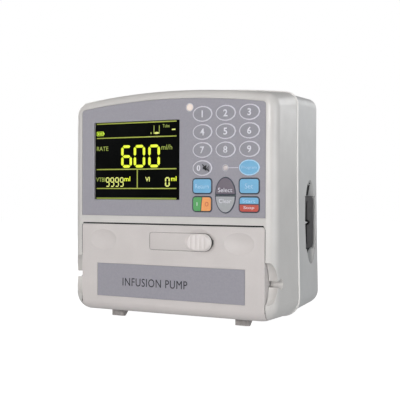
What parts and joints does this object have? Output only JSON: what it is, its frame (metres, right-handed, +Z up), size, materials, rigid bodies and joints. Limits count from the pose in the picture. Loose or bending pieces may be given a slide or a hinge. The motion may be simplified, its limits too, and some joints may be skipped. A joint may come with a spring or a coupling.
{
  "type": "infusion pump",
  "caption": "Bench and pole infusion pump: upright case with a display and keypad over a drop-down door that covers a peristaltic drive; side lever pole clamp.",
  "frame": {"origin": "middle of the bounding box at the bottom of the feet", "axes": "+Z up, the display and door face -Y, +X to the right of someone facing the display"},
  "size_m": [0.2216, 0.1216, 0.2231],
  "materials": {
    "case_front": "moulded, fine texture",
    "case_rear": "moulded, fine texture",
    "door": "moulded, fine texture",
    "overlay": "printed film",
    "key_grey": "printed film",
    "key_blue": "printed film",
    "key_dark": "printed film",
    "key_light": "printed film",
    "key_power": "printed film",
    "lamp": "diffusing lens",
    "screen": "polished",
    "display": "display module",
    "board": "solder mask",
    "dark_plastic": "moulded",
    "steel": "brushed",
    "alloy": "cast",
    "acetal": "smooth",
    "rubber": "moulded",
    "battery": "shrink sleeve"
  },
  "bodies": {
    "housing": {"front_housing": "case_front", "rear_housing": "case_rear", "control_overlay": "overlay", "lcd_window": "screen", "lcd_module": "display", "keypad_board": "board", "alarm_lamp": "lamp", "program_lamp": "lamp", "hinge_rod": "steel", "pump_block": "alloy", "cam_bearing_left": "steel", "cam_bearing_right": "steel", "drive_belt": "rubber", "stepper_motor": "dark_plastic", "bubble_sensor": "dark_plastic", "lever_pin": "steel", "pole_pad": "rubber", "main_board": "board", "power_supply": "alloy", "battery_pack": "battery", "ac_inlet": "dark_plastic", "front_foot_left": "rubber", "front_foot_right": "rubber", "rear_foot_left": "rubber", "rear_foot_right": "rubber"},
    "door": {"door_cover": "door", "door_liner": "door", "door_label": "overlay"},
    "latch": {"latch_slider": "door", "latch_bolt": "steel"},
    "platen": {"platen": "steel"},
    "camshaft": {"camshaft": "steel", "driven_pulley": "dark_plastic"},
    "motor_rotor": {"motor_pulley": "dark_plastic"},
    "clamp_lever": {"clamp_lever": "dark_plastic"},
    "clamp_jaw": {"clamp_jaw": "alloy"},
    "pump_finger_1": {"pump_finger_1": "acetal"},
    "pump_finger_2": {"pump_finger_2": "acetal"},
    "pump_finger_3": {"pump_finger_3": "acetal"},
    "pump_finger_4": {"pump_finger_4": "acetal"},
    "pump_finger_5": {"pump_finger_5": "acetal"},
    "pump_finger_6": {"pump_finger_6": "acetal"},
    "pump_finger_7": {"pump_finger_7": "acetal"},
    "key_1": {"key_1": "key_grey"},
    "key_2": {"key_2": "key_grey"},
    "key_3": {"key_3": "key_grey"},
    "key_4": {"key_4": "key_grey"},
    "key_5": {"key_5": "key_grey"},
    "key_6": {"key_6": "key_grey"},
    "key_7": {"key_7": "key_grey"},
    "key_8": {"key_8": "key_grey"},
    "key_9": {"key_9": "key_grey"},
    "key_0_mute": {"key_0_mute": "key_grey"},
    "key_program": {"key_program": "key_blue"},
    "key_return": {"key_return": "key_blue"},
    "key_set": {"key_set": "key_blue"},
    "key_power": {"key_power": "key_power"},
    "key_start_stop": {"key_start_stop": "key_blue"},
    "key_select": {"key_select": "key_dark"},
    "key_clear": {"key_clear": "key_light"}
  },
  "joints": [
    {"name": "door_hinge", "type": "hinge", "parent": "housing", "child": "door", "pos_m": [0, -0.05225, 0.015], "axis": [1, 0, 0], "range_deg": [0, 90]},
    {"name": "latch_slide", "type": "slide", "parent": "door", "child": "latch", "axis": [1, 0, 0], "range_m": [0, 0.005], "stiffness_N_per_m": 200},
    {"name": "platen_slide", "type": "slide", "parent": "door", "child": "platen", "axis": [0, -1, 0], "range_m": [0, 0.0012], "stiffness_N_per_m": 3000},
    {"name": "cam_spin", "type": "hinge", "parent": "housing", "child": "camshaft", "pos_m": [0, -0.01925, 0.041], "axis": [1, 0, 0], "continuous": true},
    {"name": "motor_spin", "type": "hinge", "parent": "housing", "child": "motor_rotor", "pos_m": [0.0645, -0.01425, 0.086], "axis": [1, 0, 0], "continuous": true},
    {"name": "clamp_lever_turn", "type": "hinge", "parent": "housing", "child": "clamp_lever", "pos_m": [0.1008, 0.02435, 0.0938], "axis": [0, 0, -1], "range_deg": [0, 90]},
    {"name": "clamp_jaw_slide", "type": "slide", "parent": "housing", "child": "clamp_jaw", "axis": [1, 0, 0], "range_m": [0, 0.006]},
    {"name": "pump_finger_1_slide", "type": "slide", "parent": "housing", "child": "pump_finger_1", "axis": [0, 1, 0], "range_m": [0, 0.002]},
    {"name": "pump_finger_2_slide", "type": "slide", "parent": "housing", "child": "pump_finger_2", "axis": [0, 1, 0], "range_m": [-0.00038, 0.00162]},
    {"name": "pump_finger_3_slide", "type": "slide", "parent": "housing", "child": "pump_finger_3", "axis": [0, 1, 0], "range_m": [-0.00122, 0.00078]},
    {"name": "pump_finger_4_slide", "type": "slide", "parent": "housing", "child": "pump_finger_4", "axis": [0, 1, 0], "range_m": [-0.0019, 0.0001]},
    {"name": "pump_finger_5_slide", "type": "slide", "parent": "housing", "child": "pump_finger_5", "axis": [0, 1, 0], "range_m": [-0.0019, 0.0001]},
    {"name": "pump_finger_6_slide", "type": "slide", "parent": "housing", "child": "pump_finger_6", "axis": [0, 1, 0], "range_m": [-0.00122, 0.00078]},
    {"name": "pump_finger_7_slide", "type": "slide", "parent": "housing", "child": "pump_finger_7", "axis": [0, 1, 0], "range_m": [-0.00038, 0.00162]},
    {"name": "key_1_press", "type": "slide", "parent": "housing", "child": "key_1", "axis": [0, 1, 0], "range_m": [0, 0.0008], "stiffness_N_per_m": 1500},
    {"name": "key_2_press", "type": "slide", "parent": "housing", "child": "key_2", "axis": [0, 1, 0], "range_m": [0, 0.0008], "stiffness_N_per_m": 1500},
    {"name": "key_3_press", "type": "slide", "parent": "housing", "child": "key_3", "axis": [0, 1, 0], "range_m": [0, 0.0008], "stiffness_N_per_m": 1500},
    {"name": "key_4_press", "type": "slide", "parent": "housing", "child": "key_4", "axis": [0, 1, 0], "range_m": [0, 0.0008], "stiffness_N_per_m": 1500},
    {"name": "key_5_press", "type": "slide", "parent": "housing", "child": "key_5", "axis": [0, 1, 0], "range_m": [0, 0.0008], "stiffness_N_per_m": 1500},
    {"name": "key_6_press", "type": "slide", "parent": "housing", "child": "key_6", "axis": [0, 1, 0], "range_m": [0, 0.0008], "stiffness_N_per_m": 1500},
    {"name": "key_7_press", "type": "slide", "parent": "housing", "child": "key_7", "axis": [0, 1, 0], "range_m": [0, 0.0008], "stiffness_N_per_m": 1500},
    {"name": "key_8_press", "type": "slide", "parent": "housing", "child": "key_8", "axis": [0, 1, 0], "range_m": [0, 0.0008], "stiffness_N_per_m": 1500},
    {"name": "key_9_press", "type": "slide", "parent": "housing", "child": "key_9", "axis": [0, 1, 0], "range_m": [0, 0.0008], "stiffness_N_per_m": 1500},
    {"name": "key_0_mute_press", "type": "slide", "parent": "housing", "child": "key_0_mute", "axis": [0, 1, 0], "range_m": [0, 0.0008], "stiffness_N_per_m": 1500},
    {"name": "key_program_press", "type": "slide", "parent": "housing", "child": "key_program", "axis": [0, 1, 0], "range_m": [0, 0.0008], "stiffness_N_per_m": 1500},
    {"name": "key_return_press", "type": "slide", "parent": "housing", "child": "key_return", "axis": [0, 1, 0], "range_m": [0, 0.0008], "stiffness_N_per_m": 1500},
    {"name": "key_set_press", "type": "slide", "parent": "housing", "child": "key_set", "axis": [0, 1, 0], "range_m": [0, 0.0008], "stiffness_N_per_m": 1500},
    {"name": "key_power_press", "type": "slide", "parent": "housing", "child": "key_power", "axis": [0, 1, 0], "range_m": [0, 0.0008], "stiffness_N_per_m": 1500},
    {"name": "key_start_stop_press", "type": "slide", "parent": "housing", "child": "key_start_stop", "axis": [0, 1, 0], "range_m": [0, 0.0008], "stiffness_N_per_m": 1500},
    {"name": "key_select_press", "type": "slide", "parent": "housing", "child": "key_select", "axis": [0, 1, 0], "range_m": [0, 0.0008], "stiffness_N_per_m": 1500},
    {"name": "key_clear_press", "type": "slide", "parent": "housing", "child": "key_clear", "axis": [0, 1, 0], "range_m": [0, 0.0008], "stiffness_N_per_m": 1500}
  ],
  "couplings": [
    {"joint": "motor_spin", "follows": "cam_spin", "ratio": 2},
    {"joint": "clamp_lever_turn", "follows": "clamp_jaw_slide", "rad_per_m": 261.79}
  ]
}
